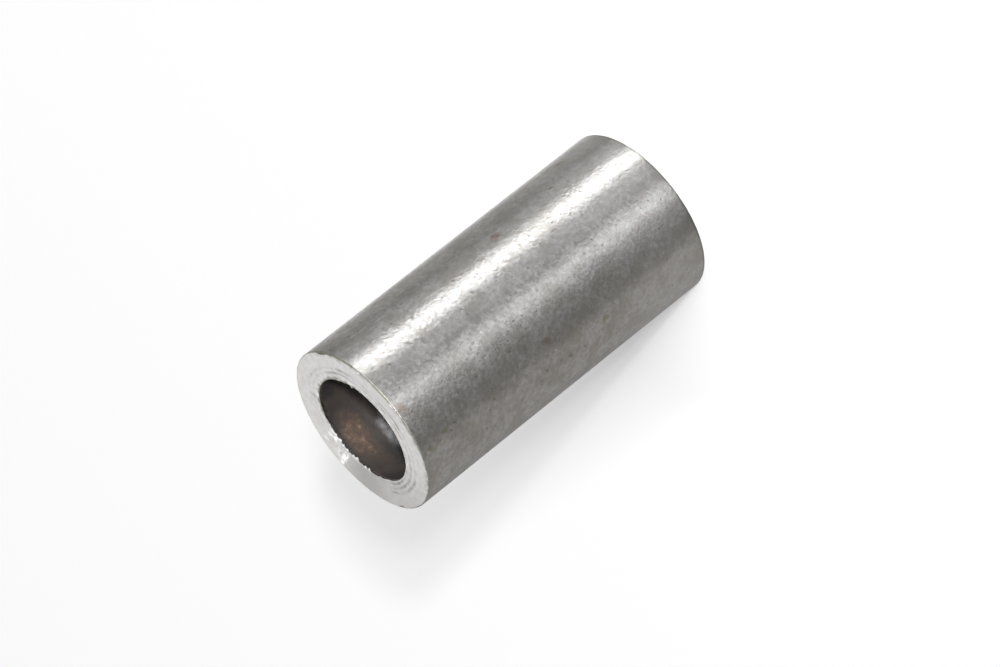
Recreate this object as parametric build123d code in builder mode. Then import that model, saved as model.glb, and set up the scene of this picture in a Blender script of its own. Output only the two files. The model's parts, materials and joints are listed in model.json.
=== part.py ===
"""Plain steel bushing: a round sleeve with a through bore, cut from drawn tube and faced at both ends.

It stands on its lower end, with the bore upright along Z and the origin at the centre of that end.
The lower end is faced square. The upper one still has the ramp that the cut-off tool left.
Lengths are millimetres, and angles are degrees, anticlockwise from +X seen from above.
"""

import os

from build123d import *

# Tube
outer_diameter = 19.0
bore_diameter = 12.3
sleeve_length = 39.2

# Broken edges, outside and at the bore
rim_break = 0.12
lip_break = 0.10

# Faced ends: a flat land outside, then rounded tool rings that step down to the bore
land_width = 1.5
ring_pitch = 0.55
ring_hollow = 0.025
ring_step = 0.015

# Ramp on the upper end, deepest at its step and running out at its hinge
ramp_step_angle = 99.0
ramp_hinge_angle = 160.0
ramp_slope = 0.6
ramp_overrun = 1.0

# Nicks in the bore's upper lip, each with its angle round the bore and its radius
lip_nicks = ((159.0, 0.20), (127.0, 0.26), (111.0, 0.22), (86.0, 0.28), (311.0, 0.16))

outer_radius = outer_diameter / 2
bore_radius = bore_diameter / 2
lip_radius = bore_radius + lip_break
land_outer_radius = outer_radius - rim_break
land_inner_radius = land_outer_radius - land_width
ring_count = max(1, round((land_inner_radius - lip_radius) / ring_pitch))
ring_width = (land_inner_radius - lip_radius) / ring_count
dish_depth = ring_count * ring_step


def end_outline(face_height, inward):
    """One end of the section, from the outer wall to the bore; inward is the way to the other end."""
    with BuildLine(mode=Mode.PRIVATE) as outline:
        Polyline(
            (outer_radius, face_height + inward * rim_break),
            (land_outer_radius, face_height),
            (land_inner_radius, face_height),
        )
        for ring in range(ring_count):
            outside = land_inner_radius - ring * ring_width
            shelf = ring * ring_step
            ThreePointArc(
                (outside, face_height + inward * shelf),
                (outside - ring_width / 2, face_height + inward * (shelf + ring_step / 2 + ring_hollow)),
                (outside - ring_width, face_height + inward * (shelf + ring_step)),
            )
        Line(
            (lip_radius, face_height + inward * dish_depth),
            (bore_radius, face_height + inward * (dish_depth + lip_break)),
        )
    return outline.line


top_outline = end_outline(sleeve_length, -1)
bottom_outline = end_outline(0, 1)

with BuildPart() as bushing:
    # The wall's section, turned about the bore's axis
    with BuildSketch(Plane.XZ) as section:
        with BuildLine():
            add(top_outline)
            add(bottom_outline)
            Line(top_outline @ 0, bottom_outline @ 0)
            Line(top_outline @ 1, bottom_outline @ 1)
        make_face()
    revolve(axis=Axis.Z)

    # The ramp: a sector of the upper end, cut by a plane that tilts about its hinge
    hinge = Vector(1, 0, 0).rotate(Axis.Z, ramp_hinge_angle)
    ramp_normal = Vector(0, 0, 1).rotate(Axis((0, 0, 0), hinge), ramp_slope)
    ramp_plane = Plane(origin=(0, 0, sleeve_length), x_dir=hinge, z_dir=ramp_normal)
    ramp_sweep = ramp_step_angle - ramp_hinge_angle
    with BuildSketch(ramp_plane) as sector:
        with BuildLine():
            rim = CenterArc((0, 0), outer_radius + ramp_overrun, 0, ramp_sweep)
            Line((0, 0), rim @ 0)
            Line((0, 0), rim @ 1)
        make_face()
    extrude(amount=ramp_overrun, mode=Mode.SUBTRACT)

    # Nicks where the burr broke out of the upper lip
    for nick_angle, nick_radius in lip_nicks:
        nick_centre = Vector(lip_radius, 0, sleeve_length - dish_depth).rotate(Axis.Z, nick_angle)
        with Locations(nick_centre):
            Sphere(nick_radius, mode=Mode.SUBTRACT)

bushing.part.label = "bushing"

os.makedirs("parts", exist_ok=True)
export_step(bushing.part, "parts/bushing.step")
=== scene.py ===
"""A plain steel bushing, standing upright on a pale bench with its parted-off end uppermost."""
import functools
import json
import math

import bmesh
import bpy
from mathutils import Matrix, Vector, noise


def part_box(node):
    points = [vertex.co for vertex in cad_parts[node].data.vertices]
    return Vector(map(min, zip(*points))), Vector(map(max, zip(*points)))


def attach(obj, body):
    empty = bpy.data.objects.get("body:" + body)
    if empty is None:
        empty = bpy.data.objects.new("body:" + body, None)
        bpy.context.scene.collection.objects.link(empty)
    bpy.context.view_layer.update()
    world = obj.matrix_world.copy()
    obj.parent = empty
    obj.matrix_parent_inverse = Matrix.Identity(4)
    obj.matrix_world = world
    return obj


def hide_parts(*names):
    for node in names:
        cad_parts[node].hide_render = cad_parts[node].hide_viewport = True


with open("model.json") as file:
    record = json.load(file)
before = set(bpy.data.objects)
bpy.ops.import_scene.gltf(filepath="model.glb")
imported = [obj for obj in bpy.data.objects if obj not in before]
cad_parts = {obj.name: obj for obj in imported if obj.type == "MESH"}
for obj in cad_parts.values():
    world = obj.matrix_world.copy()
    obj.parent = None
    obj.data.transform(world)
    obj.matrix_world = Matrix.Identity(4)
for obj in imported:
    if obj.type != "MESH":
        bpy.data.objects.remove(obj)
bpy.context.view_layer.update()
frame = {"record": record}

# The sleeve is one length of cold-drawn steel tube, turned square at both ends.
# It is spun here from its section: the drawn wall, the two faced ends with the tool's rings on them, and the
# bore, which is as it was drawn.
MM = 0.001
mounts = {mount["name"]: mount for mount in frame["record"]["mounts"]}
low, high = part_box("bushing")
sleeve_length = high.z
wall_inset = 0.004 * MM
outer_radius = (high.x - low.x) / 2 - wall_inset
bore_radius = mounts["bore"]["dims"]["r_mm"] * MM

turns = 576
rim_break = 0.10 * MM
rim_rows = 4
top_rows = 44
bottom_rows = 26
face_drop = 0.03 * MM
lip_break = 0.06 * MM
lip_radius = bore_radius + lip_break
lip_depths = (0.03 * MM, 0.08 * MM, 0.16 * MM, 0.34 * MM)
scale_drop = 0.25 * MM
land_radius = 8.0 * MM
first_hollow = 6.40 * MM
ring_pitch = 0.61 * MM
ring_depth = 0.022 * MM
dish_depth = 0.02 * MM
wall_rows = 16
bore_rows = 14
merge_distance = 0.0005 * MM


def ring_hollow(radius):
    """1 in the middle of a tool ring's hollow, 0 between two hollows and on the land outside them."""
    if radius > land_radius:
        return 0.0
    return 0.5 + 0.5 * math.cos(2 * math.pi * (radius - first_hollow) / ring_pitch)


def dish(radius):
    """How far the end falls from the land to here, on its way to the bore."""
    return dish_depth * min(1.0, max(0.0, (land_radius - radius) / (land_radius - lip_radius)))


def end_outline(face_height, inward, face_rows, ring_share):
    """One end's section, from the outer wall over the face to the bore.

    inward is 1 or -1, the way to the other end, and ring_share is how much of the tool's rings it has.
    """
    rows = []
    for step in range(rim_rows + 1):
        turn = math.radians(90) * step / rim_rows
        rows.append((outer_radius - rim_break * (1 - math.cos(turn)),
                     face_height + inward * rim_break * (1 - math.sin(turn))))
    land = outer_radius - rim_break
    for step in range(1, face_rows + 1):
        radius = land + (lip_radius - land) * step / face_rows
        drop = ring_share * (ring_depth * ring_hollow(radius) + dish(radius))
        rows.append((radius, face_height + inward * drop))
    lip_height = rows[-1][1]
    rows += [(bore_radius, lip_height + inward * depth) for depth in lip_depths]
    return rows


sleeve = bmesh.new()


def spin_strip(outline, finish):
    """Turns one stretch of the section round the sleeve's axis and gives it the finish of this number."""
    strip = bmesh.new()
    corners = [strip.verts.new((radius, 0, height)) for radius, height in outline]
    edges = [strip.edges.new(pair) for pair in zip(corners, corners[1:])]
    bmesh.ops.spin(strip, geom=corners + edges, cent=(0, 0, 0), axis=(0, 0, 1), angle=2 * math.pi,
                   steps=turns, use_merge=True)
    for face in strip.faces:
        face.material_index = finish
        face.smooth = True
    turned = bpy.data.meshes.new("turned_strip")
    strip.to_mesh(turned)
    strip.free()
    sleeve.from_mesh(turned)
    bpy.data.meshes.remove(turned)


def straight(start, end, rows):
    """Points along a straight line, with both its ends."""
    return [Vector(start).lerp(Vector(end), step / rows) for step in range(rows + 1)]


DRAWN, PARTED, SCALED = range(3)
top_height = sleeve_length - face_drop
top = end_outline(top_height, -1, top_rows, 0.0)
bottom = end_outline(0.0, 1, bottom_rows, 1.0)
spin_strip(straight(bottom[0], top[0], wall_rows), DRAWN)
spin_strip(top, PARTED)
below_burr = (bore_radius, top[-1][1] - scale_drop)
spin_strip([top[-1]] + straight(below_burr, bottom[-1], bore_rows), SCALED)
spin_strip(bottom[::-1], PARTED)
bmesh.ops.remove_doubles(sleeve, verts=sleeve.verts, dist=merge_distance)
bmesh.ops.recalc_face_normals(sleeve, faces=sleeve.faces)

# The upper end was parted off last. The tool left its rings round the bore, a shallow ramp with a torn step
# at its end, and a burr that hangs ragged over part of the bore's edge. Angles are in degrees, anticlockwise
# from +X, seen from above.
step_angle = 99.0
step_wander, step_waves, step_seed = 1.2, 1.4, 7
step_blur = 0.8
ramp_angle = 61.0
ramp_depth = 0.045 * MM
flank_angle = 3.0
tear_depth = 0.022 * MM
crumple_waves, crumple_seed = 2.2, 5
face_fade = 0.3 * MM
flap_width, flap_depth = 0.5 * MM, 0.24 * MM
flap_root = lip_depths[-1]
full_hang = 0.35 * MM
least_hang = -0.02
groove_sharpness = 1.5
rounding = 0.001 * MM
sharp_angle = math.radians(40)
# The least there is anywhere of rings, of edge soil and painted shade, and of tearing and painted glint, and
# how much other stretches take away
least_rings, least_edge, least_plough, least_lip = 0.25, 0.4, 0.15, 0.22
smooth_share, clean_share, flap_share = 0.92, 0.85, 0.8
# A small place is whole out to this share of its half width, and has faded as far past its edge
whole_share = 0.3
# Wear and painted shade on the rim start at this raggedness, where 1 is even, and grow with it at this rate
worn_shade_start, worn_shade_rate = 0.5, 1.2
# Of torn metal's depth and of its brightness, which is partly a painted glint: how much is even, and how
# much swings as it crumples
even_depth, crumpled_depth = 0.3, 1.2
even_shine, crumpled_shine = 0.85, 0.5

# Swells round the end: the middle and half the width in degrees, and the height. A burr's is in millimetres.
burr_swells = ((88, 52, 0.20), (115, 22, 0.14), (150, 13, 0.20), (330, 24, 0.07))
burr_teeth = ((311.5, 2.2, 0.34), (126, 1.7, 0.46), (121, 2.6, 0.22), (109, 2.4, 0.34), (104, 1.3, 0.24),
              (96, 1.8, 0.22), (90, 1.3, 0.16), (84, 2.0, 0.40), (77, 1.5, 0.22), (142, 2.0, 0.08),
              (66, 2.0, 0.10), (52, 2.4, 0.10), (322, 1.5, 0.10), (300, 1.6, 0.10), (287, 1.6, 0.08))
ring_swells = ((176, 56, 0.7), (318, 44, 0.55), (262, 50, 0.3))
darker_sector_swells = ((118, 34, 0.50), (152, 82, 0.46))
rim_notches = ((336, 10, 1.7), (318, 24, 0.5))
edge_soil_and_shade = ((328, 34, 0.6),)
edge_wear_and_shade = ((262, 60, 0.5),)

# Unevenness: how much, its waves to the millimetre and its seed
burr_waves = ((0.9, 0.8, 3), (0.7, 2.2, 4))
burr_ripple = ((0.03, 1.5, 5),)
rim_waves = ((0.4, 0.6, 8), (0.5, 1.8, 9))
ring_waves = ((1.9, 0.6, 12),)
ring_weave = ((0.16, 0.3, 14), (0.06, 0.9, 15))
plough_waves = ((1.2, 1.4, 20),)
lip_waves = ((1.0, 0.8, 16),)

# Stretches of the end: where each starts and stops, and over how much it fades. Angles first, then radii.
smooth_rings = (62, 140, 14)
clean_burr = (138, 190, 16)
ploughed_angles = (72, 100, 8)
smooth_lip = (102, 205, 12)
ploughed_radii = (lip_radius, 8.7 * MM, 0.5 * MM)
lip_radii = (lip_radius - 0.3 * MM, lip_radius + 0.34 * MM, 0.2 * MM)

# Small places on the face: angle, radius in millimetres, half the angle and half the width
torn_glint_places = ((97.6, 7.7, 4.6, 1.2), (97.8, 9.0, 3.4, 0.5), (300, 9.3, 2.2, 0.16), (271, 9.25, 2.0, 0.2))
streaks = ((93, 7.7, 1.1, 0.28), (90.5, 6.95, 1.1, 0.32), (87, 7.4, 0.9, 0.26), (84, 6.8, 0.9, 0.2),
           (34, 7.0, 1.3, 0.5), (159, 6.6, 0.8, 0.3))


def ease(value):
    """Rises smoothly from 0 to 1 as value does."""
    value = min(1.0, max(0.0, value))
    return value * value * (3 - 2 * value)


def turned_from(angle, start):
    """How far angle lies past start, from -180 to 180 degrees."""
    return (angle - start + 180) % 360 - 180


def hump(angle, middle, half):
    """1 at the middle of a stretch round the sleeve, falling smoothly to 0 at half its width."""
    return ease(1 - abs(turned_from(angle, middle)) / half)


def swollen(swells, angle):
    """How high these swells are together here."""
    return sum(height * hump(angle, middle, half) for middle, half, height in swells)


def between(value, start, end, fade):
    """1 from start to end, fading out over fade at both."""
    return ease((value - start) / fade + 0.5) * ease((end - value) / fade + 0.5)


def in_place(place, angle, radius):
    """1 in a small place on the face, falling smoothly to 0 round it."""
    middle, out, half_angle, half_width = place
    off_middle = abs(radius / MM - out) / half_width
    return hump(angle, middle, half_angle) * ease(1 + whole_share - off_middle)


def uneven(waves, angle, radius):
    """A smooth random number for this place on the end, from rows of how much, waves and seed."""
    turn = math.radians(angle)
    total = 0.0
    for share, per_mm, seed in waves:
        reach = radius / MM * per_mm
        total += share * noise.noise(Vector((reach * math.cos(turn), reach * math.sin(turn), seed)))
    return total


@functools.cache
def burr_hang(angle):
    """How far the burr hangs over the bore."""
    reach = swollen(burr_swells, angle) * (1 + uneven(burr_waves, angle, bore_radius))
    reach += uneven(burr_ripple, angle, bore_radius)
    for middle, half, hang in burr_teeth:
        reach += hang * max(0.0, 1 - abs(turned_from(angle, middle)) / half)
    return max(least_hang, reach) * MM


@functools.cache
def ring_strength(angle):
    """How deep the tool's rings are cut here."""
    return (least_rings + swollen(ring_swells, angle)) * (1 - smooth_share * between(angle, *smooth_rings))


def torn_and_glint_share(angle, radius, flap):
    """How torn the metal is here, from 0 to about 1, which also whitens it as a painted glint; flap is how
    torn the burr's flap would make it.
    """
    torn_and_glint = flap_share * flap * (1 - clean_share * between(angle, *clean_burr))
    torn_and_glint = max([torn_and_glint] + [in_place(place, angle, radius) for place in torn_glint_places])
    ploughed = between(angle, *ploughed_angles) * between(radius, *ploughed_radii)
    torn_and_glint = max(torn_and_glint, ploughed * (least_plough + uneven(plough_waves, angle, radius)))
    on_lip = between(radius, *lip_radii) * (1 - between(angle, *smooth_lip))
    return max(torn_and_glint, on_lip * (least_lip + uneven(lip_waves, angle, radius)))


torn_and_glint_layer = sleeve.verts.layers.float.new("torn_and_glint")
darker_sector_layer = sleeve.verts.layers.float.new("darker_sector")
groove_layer = sleeve.verts.layers.float.new("groove")
edge_layer = sleeve.verts.layers.float.new("edge")
for vert in sleeve.verts:
    depth = top_height - vert.co.z
    if depth > flap_root - rounding:
        continue
    radius = vert.co.xy.length
    # Rounded, so that what is the same all along a radius is worked out once
    angle = round(math.degrees(math.atan2(vert.co.y, vert.co.x)), 2) % 360
    outward = vert.co.xy.normalized()
    hang = burr_hang(angle)
    on_flap = ease(1 - (radius - lip_radius) / flap_width) * ease(1 - (depth - dish_depth) / flap_depth)
    inset = outer_radius - radius
    if inset < rim_break + rounding:
        ragged = 1 + uneven(rim_waves, angle, outer_radius) + swollen(rim_notches, angle)
        vert.co.xy = outward * (outer_radius - inset * ragged)
        depth *= ragged
        # Where the rim is more ragged it is darker: partly wear, partly painted shade
        worn_and_painted_light = swollen(edge_wear_and_shade, angle) * ease(worn_shade_rate * (ragged - worn_shade_start))
        vert[edge_layer] = least_edge + swollen(edge_soil_and_shade, angle) + worn_and_painted_light
    else:
        hollow = ring_hollow(radius + uneven(ring_weave, angle, radius) * MM)
        strength = ring_strength(angle) * (1 + uneven(ring_waves, angle, radius))
        if radius < bore_radius + rounding:
            strength = 0.0
        scored = sum(in_place(streak, angle, radius) for streak in streaks)
        # The groove share darkens the colour in the ring hollows and the streaks, partly as dirt and partly
        # as painted shade
        vert[groove_layer] = max(0.0, strength) * hollow ** groove_sharpness + scored
        depth += (ring_depth * strength * hollow + dish(radius)) * ease(1 - depth / face_fade)
        vert.co.xy = outward * (radius - hang * on_flap)
    radius = vert.co.xy.length
    wandered = step_wander * noise.noise(Vector((radius / MM * step_waves, 0, step_seed)))
    past = turned_from(angle, step_angle) + wandered
    on_face = ease(1 - (depth - dish_depth) / face_fade)
    if -flank_angle < past < ramp_angle:
        depth += ramp_depth * (1 - max(0.0, past) / ramp_angle) * ease(1 + past / flank_angle) * on_face
    # The torn share also whitens the end's colour: partly clean torn metal, partly a painted glint
    torn_and_glint = torn_and_glint_share(angle, radius, max(0.0, min(1.0, hang / full_hang)) * on_flap)
    crumple = noise.noise(vert.co / MM * crumple_waves + Vector((0, 0, crumple_seed)))
    depth += tear_depth * torn_and_glint * (even_depth + crumpled_depth * crumple) * on_face
    vert[torn_and_glint_layer] = torn_and_glint * (even_shine + crumpled_shine * crumple)
    vert[darker_sector_layer] = swollen(darker_sector_swells, angle) * ease(0.5 + past / step_blur) * on_face
    vert.co.z = min(sleeve_length, top_height - depth)

mesh = bpy.data.meshes.new("bushing_steel")
sleeve.to_mesh(mesh)
sleeve.free()
mesh.set_sharp_from_angle(angle=sharp_angle)
bushing = bpy.data.objects.new("steel_bushing", mesh)
bpy.context.scene.collection.objects.link(bushing)
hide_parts("bushing")
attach(bushing, "root")


def colour(code):
    """A linear colour from an sRGB hex value."""
    parts = [int(code[i:i + 2], 16) / 255 for i in (1, 3, 5)]
    return [p / 12.92 if p <= 0.04045 else ((p + 0.055) / 1.055) ** 2.4 for p in parts] + [1.0]


def add(tree, kind, inputs=(), give=0, **settings):
    """Adds a node and gives one of its outputs.

    inputs gives each socket, in order or by name or number, a value or another node's output.
    """
    made = tree.nodes.new(kind)
    for name, value in settings.items():
        setattr(made, name, value)
    for socket, value in inputs.items() if isinstance(inputs, dict) else enumerate(inputs):
        if isinstance(value, bpy.types.NodeSocket):
            tree.links.new(value, made.inputs[socket])
        else:
            made.inputs[socket].default_value = value
    return made.outputs[give] if made.outputs else None


# Settings: a range whose ends are eased, and the product of two numbers plus a third
EASED = {"interpolation_type": "SMOOTHSTEP"}
TIMES_PLUS = {"operation": "MULTIPLY_ADD"}


def layered(tree, base, layers):
    """The base colour with others laid over it in turn. A layer is how much of it shows, and its colour."""
    for share, tint in layers:
        over = tint if isinstance(tint, bpy.types.NodeSocket) else colour(tint)
        base = add(tree, "ShaderNodeMix", {0: share, 6: base, 7: over}, give=2, data_type="RGBA")
    return base


def new_material(name):
    """An empty material, its Object coordinates, and the same in millimetres and turned askew."""
    made = bpy.data.materials.new(name)
    made.use_nodes = True
    tree = made.node_tree
    tree.nodes.clear()
    place = add(tree, "ShaderNodeTexCoord", give="Object")
    per_mm = add(tree, "ShaderNodeMapping", {"Vector": place, "Scale": (1 / MM, 1 / MM, 1 / MM)})
    # Noise is smoother on the planes of its own lattice, so that is turned away from the sleeve's axis
    askew = add(tree, "ShaderNodeMapping", {"Vector": per_mm, "Rotation": (0.6, 0.5, 0.3)})
    mesh.materials.append(made)
    return tree, place, per_mm, askew


# Ragged noise, stretched by fray, is added to the distance from a spot's middle in half sizes. The spot is
# whole up to the first of two such sums and gone past the second.
fray = 2.2
spot_whole, spot_gone = 1.3, 2.5


def spot(tree, place, ragged, angle, height, around, along, radius=outer_radius, deep=2.0):
    """1 on a ragged spot of the wall and 0 off it; half its size round, along and into the wall is in mm."""
    turn = math.radians(angle)
    middle = (radius * math.cos(turn), radius * math.sin(turn), height * MM)
    size = (deep * MM, around * MM, along * MM)
    local = add(tree, "ShaderNodeMapping",
                {"Vector": place, "Location": middle, "Rotation": (0, 0, turn), "Scale": size},
                vector_type="TEXTURE")
    far = add(tree, "ShaderNodeVectorMath", (local,), give="Value", operation="LENGTH")
    frayed = add(tree, "ShaderNodeMath", (ragged, fray, far), **TIMES_PLUS)
    return add(tree, "ShaderNodeMapRange", (frayed, spot_gone, spot_whole, 0.0, 1.0), **EASED)


# Cold-drawn steel, stored bare: a smooth grey skin. Its fine orange peel breaks up the edges of reflections,
# and it has small dark pits, faint draw lines along the tube and a few specks of rust. A pattern's scale is
# its waves to the millimetre: dimples lie 0.5 mm apart, frost 0.3 mm, draw lines 0.6 mm, pits 0.7 mm and
# tarnished patches 2.5 mm. The real frost is finer, and is drawn as coarse as the render can show.
tree, place, per_mm, askew = new_material("cold_drawn_steel")
along = add(tree, "ShaderNodeMapping", {"Vector": per_mm, "Scale": (1, 1, 0.05)})
peel = add(tree, "ShaderNodeTexNoise", {"Vector": askew, "Scale": 1.9, "Detail": 1.0, "Roughness": 0.4})
lines = add(tree, "ShaderNodeTexNoise", {"Vector": along, "Scale": 1.7, "Detail": 1.0})
frost = add(tree, "ShaderNodeTexNoise", {"Vector": askew, "Scale": 3.0, "Detail": 1.0, "Roughness": 0.5})
grain = add(tree, "ShaderNodeTexNoise", {"Vector": askew, "Scale": 1.9, "Detail": 3.0, "Roughness": 0.65})
tarnish = add(tree, "ShaderNodeTexNoise", {"Vector": askew, "Scale": 0.4, "Detail": 3.0, "Roughness": 0.6})
wander = add(tree, "ShaderNodeTexNoise", {"Vector": askew, "Scale": 2.6, "Detail": 1.0}, give="Color")
bent = add(tree, "ShaderNodeVectorMath", (wander, (0.35, 0.35, 0.35), askew), **TIMES_PLUS)
cell = add(tree, "ShaderNodeTexVoronoi", {"Vector": bent, "Scale": 1.5, "Randomness": 1.0}, give="Color")
chance = add(tree, "ShaderNodeSeparateColor", {"Color": cell})
pit_size = add(tree, "ShaderNodeMapRange", (chance, 0.5, 1.0, 0.0, 0.21), **EASED)
pit_depth = add(tree, "ShaderNodeMath", (cell.node.outputs["Distance"], -1.0, pit_size), **TIMES_PLUS)
pits = add(tree, "ShaderNodeMapRange", (pit_depth, -0.1, 0.1, 0.0, 1.0), **EASED)
height_mm = add(tree, "ShaderNodeSeparateXYZ", {"Vector": per_mm}, give="Z")
skin_layers = [
    (add(tree, "ShaderNodeMapRange", (grain, 0.3, 0.7, 0.0, 1.0), **EASED), "#C8C7C6"),
    (add(tree, "ShaderNodeMapRange", (tarnish, 0.42, 0.66, 0.0, 0.6), **EASED), "#A5A19C"),
    (add(tree, "ShaderNodeMath", (pits, 0.5), operation="MULTIPLY"), "#7C7772"),
    # Painted highlight: the skin is whitened towards the lower end, so that its reflections are brighter
    # there
    (add(tree, "ShaderNodeMapRange", (height_mm, 14.0, 6.0, 0.0, 0.14), **EASED), "#FFFFFF"),
    # Painted shade along the bottom edge: the lowest 0.36 mm of the wall is darkened, with an olive tint
    (add(tree, "ShaderNodeMapRange", (height_mm, 0.36, 0.1, 0.0, 0.6), **EASED), "#868875"),
]
# Each mark: its angle and height on the sleeve, half its width round it and half its length along it
rust_spots = ((266.5, 38.5, 0.5, 0.45), (317, 17.5, 0.45, 0.5), (301, 16.8, 0.3, 0.3),
              (242.5, 21.2, 0.4, 0.4), (321, 9.05, 0.2, 0.26), (299.5, 35.8, 0.12, 0.16))
stains = ((338, 5.4, 0.42, 0.42), (238, 35.6, 0.3, 0.5), (228, 14.0, 0.25, 0.6), (234, 37.9, 0.3, 0.4))
scratches = ((293.8, 12.9, 0.1, 0.55), (294.8, 24.4, 0.16, 0.18), (306.5, 30.7, 0.2, 0.2),
             (269.8, 28.2, 0.15, 0.2), (225, 22.3, 0.14, 0.14), (224, 20.3, 0.22, 0.2),
             (221.8, 19.1, 0.2, 0.2), (270.5, 12.4, 0.16, 0.16))
# Painted highlights: small white spots in the skin's colour that stand for glints
painted_glints = ((325.2, 34.8, 0.06, 0.5), (323.2, 32.9, 0.05, 0.4), (326, 36.0, 0.06, 0.4),
          (239.5, 4.8, 0.08, 0.1), (233.2, 20.6, 0.1, 0.12), (272, 26.7, 0.1, 0.1), (271, 33.0, 0.1, 0.1))
# Painted shade: two long greyer patches dim the reflections on the wall near the upper end
painted_dim_patches = ((266, 34.0, 1.1, 4.5), (264, 26.0, 0.8, 2.5))
centred = add(tree, "ShaderNodeMath", (grain, 1.0, -0.1), **TIMES_PLUS)
for marks, tint, share in ((rust_spots, "#8F6F60", 0.5), (stains, "#98946F", 0.55),
                           (scratches, "#7E7975", 0.6), (painted_glints, "#FFFFFF", 0.5), (painted_dim_patches, "#9E9B98", 0.4)):
    for angle, height, around, length in marks:
        mark = spot(tree, place, centred, angle, height, around, length)
        skin_layers.append((add(tree, "ShaderNodeMath", (mark, share), operation="MULTIPLY"), tint))
skin = layered(tree, colour("#AFADAA"), skin_layers)
gloss = add(tree, "ShaderNodeMapRange", (frost, 0.38, 0.62, 0.32, 0.39), **EASED)
relief = add(tree, "ShaderNodeMath", (frost, 0.8, peel), **TIMES_PLUS)
relief = add(tree, "ShaderNodeMath", (lines, 0.1, relief), **TIMES_PLUS)
relief = add(tree, "ShaderNodeMath", (pits, -0.5, relief), **TIMES_PLUS)
bump = add(tree, "ShaderNodeBump", {"Height": relief, "Strength": 1.0, "Distance": 0.0185 * MM})
metal = add(tree, "ShaderNodeBsdfPrincipled",
            {"Base Color": skin, "Metallic": 1.0, "Roughness": gloss, "Normal": bump})
add(tree, "ShaderNodeOutputMaterial", {"Surface": metal})

# Steel cut by the parting tool: pale and even, with fine rings and grooves round the bore, which are
# darkened partly by dirt and partly as painted shade. The ramp is darker. The torn metal at the step and on
# the burr is whitened, partly as clean torn metal and partly as a painted glint, and the outer edge is
# darkened with an olive tint, partly soil and partly painted shade. The fine rings are 0.3 mm apart, coarser
# than the real ones, which are too close to show.
tree, place, per_mm, askew = new_material("parted_steel")
across = add(tree, "ShaderNodeSeparateXYZ", {"Vector": per_mm}, give="X")
flat = add(tree, "ShaderNodeMapping", {"Vector": per_mm, "Scale": (1, 1, 0)})
radius_mm = add(tree, "ShaderNodeVectorMath", (flat,), give="Value", operation="LENGTH")
slow = add(tree, "ShaderNodeMapping", {"Vector": flat, "Scale": (0.08, 0.08, 0.08)})
outwards = add(tree, "ShaderNodeCombineXYZ", {"X": radius_mm})
track = add(tree, "ShaderNodeVectorMath", (outwards, slow), operation="ADD")
rings = add(tree, "ShaderNodeTexNoise", {"Vector": track, "Scale": 3.0, "Detail": 2.0, "Roughness": 0.6})
grain = add(tree, "ShaderNodeTexNoise", {"Vector": askew, "Scale": 1.5, "Detail": 3.0, "Roughness": 0.6})
torn_and_glint = add(tree, "ShaderNodeAttribute", give="Fac", attribute_name="torn_and_glint")
darker_sector = add(tree, "ShaderNodeAttribute", give="Fac", attribute_name="darker_sector")
groove = add(tree, "ShaderNodeAttribute", give="Fac", attribute_name="groove")
edge = add(tree, "ShaderNodeAttribute", give="Fac", attribute_name="edge")
groove_dirt_and_shade = add(tree, "ShaderNodeMapRange", (grain, 0.3, 0.65, 0.2, 0.6), **EASED)
# Soil on the face near the outer edge, on the side that the step isn't on
soil_grain = add(tree, "ShaderNodeMapRange", (grain, 0.42, 0.6, 0.15, 1.0), **EASED)
soil_band = add(tree, "ShaderNodeMapRange", (radius_mm, 8.8, 9.3, 0.0, 0.5), **EASED)
soil_side = add(tree, "ShaderNodeMapRange", (across.node.outputs["Y"], -1.0, -4.0, 0.0, 1.0), **EASED)
soil = add(tree, "ShaderNodeMath", (soil_grain, soil_band), operation="MULTIPLY")
soil = add(tree, "ShaderNodeMath", (soil, soil_side), operation="MULTIPLY")
# Soil that has crept out of the bore over its lip
lip_mm = bore_radius / MM
crept = add(tree, "ShaderNodeMath", (grain, -0.9, radius_mm), **TIMES_PLUS)
lip_soil = add(tree, "ShaderNodeMapRange", (crept, lip_mm - 0.05, lip_mm - 0.4, 0.0, 0.75), **EASED)
lip_side = add(tree, "ShaderNodeMapRange", (across, 1.5, 4.5, 0.0, 1.0), **EASED)
centred = add(tree, "ShaderNodeMath", (grain, 1.0, -0.1), **TIMES_PLUS)
stain = spot(tree, place, centred, 154, 39.2, 0.55, 0.3, deep=0.25)
cut = layered(tree, colour("#E2E0DE"), (
    (rings, "#EFEEEC"),
    (add(tree, "ShaderNodeMapRange", (grain, 0.35, 0.7, 0.0, 0.5), **EASED), "#D2D0CD"),
    (darker_sector, "#ABA9A6"),
    # The ring hollows and streaks are darkened, partly by dirt and partly as painted shade
    (add(tree, "ShaderNodeMath", (groove, groove_dirt_and_shade), operation="MULTIPLY"), "#85817D"),
    (soil, "#8B8873"),
    # Torn metal is whitened, partly as clean torn metal and partly as a painted glint
    (add(tree, "ShaderNodeMapRange", (torn_and_glint, 0.05, 0.9, 0.0, 1.0), **EASED), "#FFFFFF"),
    (add(tree, "ShaderNodeMath", (lip_soil, lip_side), operation="MULTIPLY"), "#7D7965"),
    # The outer edge is darkened with an olive tint, partly soil and partly painted shade
    (add(tree, "ShaderNodeMath", (edge, 0.85), operation="MULTIPLY"), "#A09E8E"),
    (add(tree, "ShaderNodeMath", (stain, 0.8), operation="MULTIPLY"), "#6E6A45"),
))
relief = add(tree, "ShaderNodeMath", (grain, 0.6, rings), **TIMES_PLUS)
bump = add(tree, "ShaderNodeBump", {"Height": relief, "Strength": 1.0, "Distance": 0.02 * MM})
torn_gloss = add(tree, "ShaderNodeMapRange", (torn_and_glint, 0.0, 1.0, 0.44, 0.2), **EASED)
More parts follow.
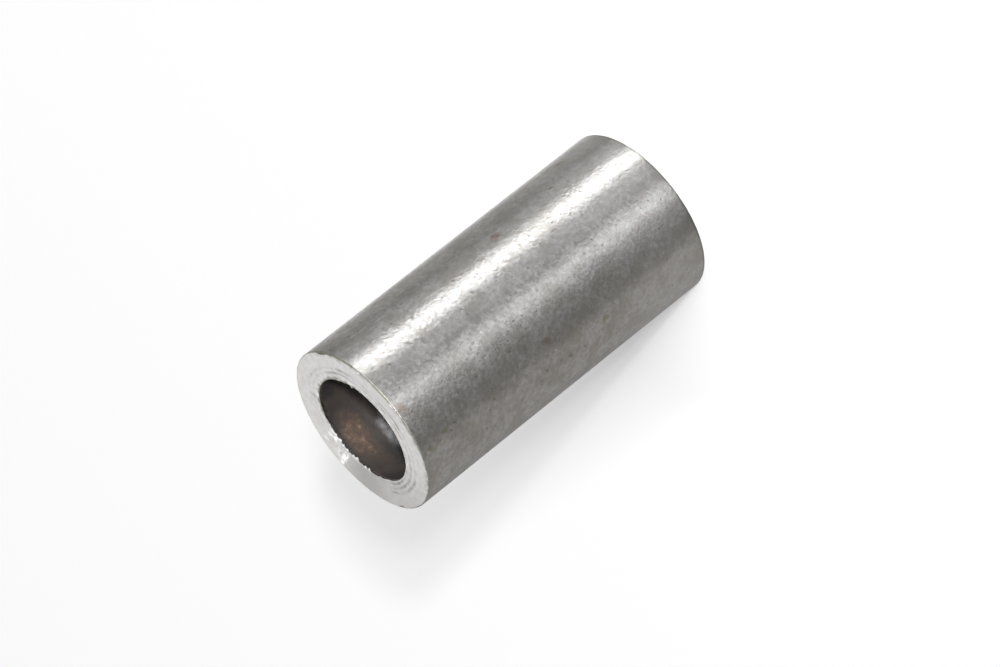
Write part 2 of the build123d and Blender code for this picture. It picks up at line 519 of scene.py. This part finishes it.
matte = add(tree, "ShaderNodeMath", (edge, 0.2, torn_gloss), **TIMES_PLUS)
metal = add(tree, "ShaderNodeBsdfPrincipled",
            {"Base Color": cut, "Metallic": 1.0, "Roughness": matte, "Normal": bump})
add(tree, "ShaderNodeOutputMaterial", {"Surface": metal})

# The bore as drawn, never turned: thin dark mill scale, which is an oxide and so dull and not metallic. It
# has brown rust in clouds 2 mm wide with specks 0.5 mm wide, and one pale grey patch, partly worn metal and
# partly a painted reflection.
tree, place, _, askew = new_material("scaled_bore_steel")
cloud = add(tree, "ShaderNodeTexNoise", {"Vector": askew, "Scale": 0.45, "Detail": 4.0, "Roughness": 0.6})
speckle = add(tree, "ShaderNodeTexNoise", {"Vector": askew, "Scale": 2.0, "Detail": 3.0, "Roughness": 0.6})
fresh = layered(tree, colour("#6C5B48"), (
    (add(tree, "ShaderNodeMapRange", (cloud, 0.4, 0.6, 0.0, 1.0), **EASED), "#695143"),
    (add(tree, "ShaderNodeMapRange", (speckle, 0.54, 0.68, 0.0, 0.45), **EASED), "#97857F"),
))
bloom = spot(tree, place, cloud, 92, 37.2, 3.0, 1.3, bore_radius)
rust_grain = add(tree, "ShaderNodeMapRange", (speckle, 0.3, 0.65, 0.3, 1.0), **EASED)
# A pale grey patch: partly worn metal, partly a painted reflection
worn_and_painted_light = spot(tree, place, cloud, 107, 34.2, 2.2, 0.8, bore_radius)
worn_glint_grain = add(tree, "ShaderNodeMapRange", (speckle, 0.3, 0.7, 0.4, 0.8), **EASED)
oxide = layered(tree, colour("#393636"), (
    (add(tree, "ShaderNodeMapRange", (cloud, 0.35, 0.65, 0.0, 1.0), **EASED), "#48413D"),
    (add(tree, "ShaderNodeMath", (bloom, rust_grain), operation="MULTIPLY"), fresh),
    (add(tree, "ShaderNodeMath", (worn_and_painted_light, worn_glint_grain), operation="MULTIPLY"), "#BFBEBE"),
))
relief = add(tree, "ShaderNodeMath", (speckle, 0.4, cloud), **TIMES_PLUS)
bump = add(tree, "ShaderNodeBump", {"Height": relief, "Strength": 1.0, "Distance": 0.06 * MM})
scale = add(tree, "ShaderNodeBsdfPrincipled",
            {"Base Color": oxide, "Metallic": 0.0, "Roughness": 0.55, "Normal": bump})
add(tree, "ShaderNodeOutputMaterial", {"Surface": scale})

# The bench and the studio round it are stage only. The sleeve in the photograph lies on its side, with the
# bench under its wall, so here metal doesn't reflect the bench, and the soft boxes shine from below it.
floor_side = 8.0
bench_colour = colour("#E7E7E7")
bpy.ops.mesh.primitive_plane_add(size=floor_side)
floor = bpy.context.object
floor.name = "bench"
floor.visible_glossy = False
floor.visible_shadow = False
bench = bpy.data.materials.new("white_bench")
bench.use_nodes = True
bench.node_tree.nodes.clear()
white = add(bench.node_tree, "ShaderNodeBsdfPrincipled",
            {"Base Color": bench_colour, "Roughness": 1.0, "Specular IOR Level": 0.0,
             "Emission Color": colour("#FFFFFF"), "Emission Strength": 0.335})
add(bench.node_tree, "ShaderNodeOutputMaterial", {"Surface": white})
floor.data.materials.append(bench)

# A plain white wall all round closes the view behind the bench. It only shows to the camera.
wall_height = 2.0
wall_distance = 1.3
bpy.ops.mesh.primitive_cylinder_add(vertices=96, radius=wall_distance, depth=wall_height,
                                    end_fill_type="NOTHING", location=(0, 0, wall_height / 2))
backdrop = bpy.context.object
backdrop.name = "backdrop"
backdrop.visible_glossy = False
backdrop.visible_diffuse = False
backdrop.visible_shadow = False
paper = bpy.data.materials.new("white_backdrop")
paper.use_nodes = True
paper.node_tree.nodes.clear()
glow = add(paper.node_tree, "ShaderNodeEmission", {"Color": colour("#FFFFFF"), "Strength": 0.96})
add(paper.node_tree, "ShaderNodeOutputMaterial", {"Surface": glow})
backdrop.data.materials.append(paper)

world = bpy.data.worlds.new("studio")
bpy.context.scene.world = world
world.use_nodes = True
sky = world.node_tree.nodes["Background"]
sky.inputs["Color"].default_value = colour("#FFFFFF")
sky.inputs["Strength"].default_value = 0.09


def soft_box(name, azimuth, distance, width, height, middle, tilt, radiance, tint="#FFFFFF"):
    """A soft box that faces the sleeve, with its middle this high; azimuth is anticlockwise from +X."""
    lamp = bpy.data.lights.new(name, "AREA")
    lamp.shape = "RECTANGLE"
    lamp.size = width
    lamp.size_y = height
    lamp.energy = math.pi * width * height * radiance
    lamp.color = colour(tint)[:3]
    placed = bpy.data.objects.new(name, lamp)
    bpy.context.scene.collection.objects.link(placed)
    turn = math.radians(azimuth)
    placed.location = (distance * math.cos(turn), distance * math.sin(turn), middle)
    placed.rotation_euler = (math.radians(90 - tilt), 0, turn + math.radians(90))


# The strips stand round the sleeve, below the bench. Each: name, azimuth, how many degrees it fills,
# brightness and tint.
strip_distance = 0.8
strip_foot, strip_head = -0.77, -0.02
strips = (
    ("key_strip", -27.5, 14.0, 5.5, "#FFFFFF"),
    ("second_strip", -90.5, 17.0, 1.84, "#FCFDFF"),
    ("second_fill", -112.0, 20.0, 0.1, "#FCFDFF"),
    ("front_fill", -58.5, 14.0, 0.79, "#FCFDFF"),
    ("back_low", 77.0, 23.0, 1.22, "#FFFFFF"),
    ("back_side", 118.0, 35.0, 0.26, "#FFFEFC"),
    ("far_fill", 165.5, 65.0, 0.36, "#FFFBF6"),
    ("right_fill", -137.0, 69.0, 0.155, "#FFFAF4"),
    ("left_fill", 45.4, 42.0, 0.405, "#FFFCF8"),
    ("near_left_fill", 6.0, 16.0, 0.60, "#FFFEFC"),
)
for name, azimuth, spread, radiance, tint in strips:
    soft_box(name, azimuth, strip_distance, 2 * strip_distance * math.tan(math.radians(spread / 2)),
             strip_head - strip_foot, (strip_head + strip_foot) / 2, 0, radiance, tint)
# Two big boxes stand behind the backdrop and shine through it, one for the upper end and one for other
# views, and one hangs overhead
soft_box("back_high", azimuth=78.0, distance=1.5, width=1.212, height=1.51, middle=0.88, tilt=0,
         radiance=1.03)
soft_box("left_high", azimuth=160.0, distance=1.5, width=1.5, height=1.51, middle=0.88, tilt=0,
         radiance=0.4)
soft_box("overhead", azimuth=0, distance=0, width=1.2, height=1.2, middle=1.6, tilt=90.0, radiance=0.3)

# A window's panes throw the shadow on the bench: a row whose shadows end as far aside as each other but
# further and further out, and two brighter ones. Each takes this share of the bench's white.
pane_side = 0.09
pane_distance = 2.6
row_count = 21
row_aside = 10.0 * MM
nearest_end, furthest_end = 16.0 * MM, 104.0 * MM
nearest_share, furthest_share = 0.0105, 0.0175
bright_aside, bright_end, bright_share = 5.0 * MM, 96.0 * MM, 0.1
panes = [(row_aside, furthest_end, bright_share), (bright_aside, bright_end, bright_share)]
for pane in range(row_count):
    along_row = pane / (row_count - 1)
    panes.append((row_aside, nearest_end * (furthest_end / nearest_end) ** along_row,
                  nearest_share + (furthest_share - nearest_share) * along_row))
for shadow_aside, reach, share in panes:
    azimuth = math.degrees(math.asin(shadow_aside / reach)) - 90
    climb = math.atan(sleeve_length / reach)
    seen = (pane_side * math.cos(climb) / pane_distance) ** 2
    radiance = share * math.pi / (bench_colour[0] * seen * math.sin(climb))
    soft_box("window_pane", azimuth, pane_distance, pane_side, pane_side, pane_distance * math.tan(climb),
             math.degrees(climb), radiance)

# The camera looks down on the sleeve through a long lens, rolled so that the upper end is at the lower left.
# Its lens, tilt, roll and distance were fitted to the sleeve's outline in the photograph.
image_width, image_height = 1000, 667
focal_pixels = 5511.0
lens_tilt = math.radians(25.11)
lens_roll = math.radians(38.41)
near_end_pixel = (362.06, 430.82)
pixels_per_diameter = 191.36
diameter = 2 * mounts["outside"]["dims"]["r_mm"] * MM
distance = focal_pixels * diameter / pixels_per_diameter
aside = (near_end_pixel[0] - image_width / 2) / focal_pixels * distance
below = (near_end_pixel[1] - image_height / 2) / focal_pixels * distance
right = Vector((-math.sin(lens_roll), -math.sin(lens_tilt) * math.cos(lens_roll),
                -math.cos(lens_tilt) * math.cos(lens_roll)))
up = Vector((math.cos(lens_roll), -math.sin(lens_tilt) * math.sin(lens_roll),
             -math.cos(lens_tilt) * math.sin(lens_roll)))
back = Vector((0, -math.cos(lens_tilt), math.sin(lens_tilt)))
camera_data = bpy.data.cameras.new("camera")
camera_data.sensor_width = 36.0
camera_data.lens = camera_data.sensor_width * focal_pixels / image_width
camera = bpy.data.objects.new("camera", camera_data)
bpy.context.scene.collection.objects.link(camera)
bpy.context.scene.camera = camera
camera_place = Vector((0, 0, sleeve_length)) - aside * right + below * up + distance * back
camera.matrix_world = Matrix.Translation(camera_place) @ Matrix((right, up, back)).transposed().to_4x4()

bpy.context.scene.view_settings.view_transform = "Standard"
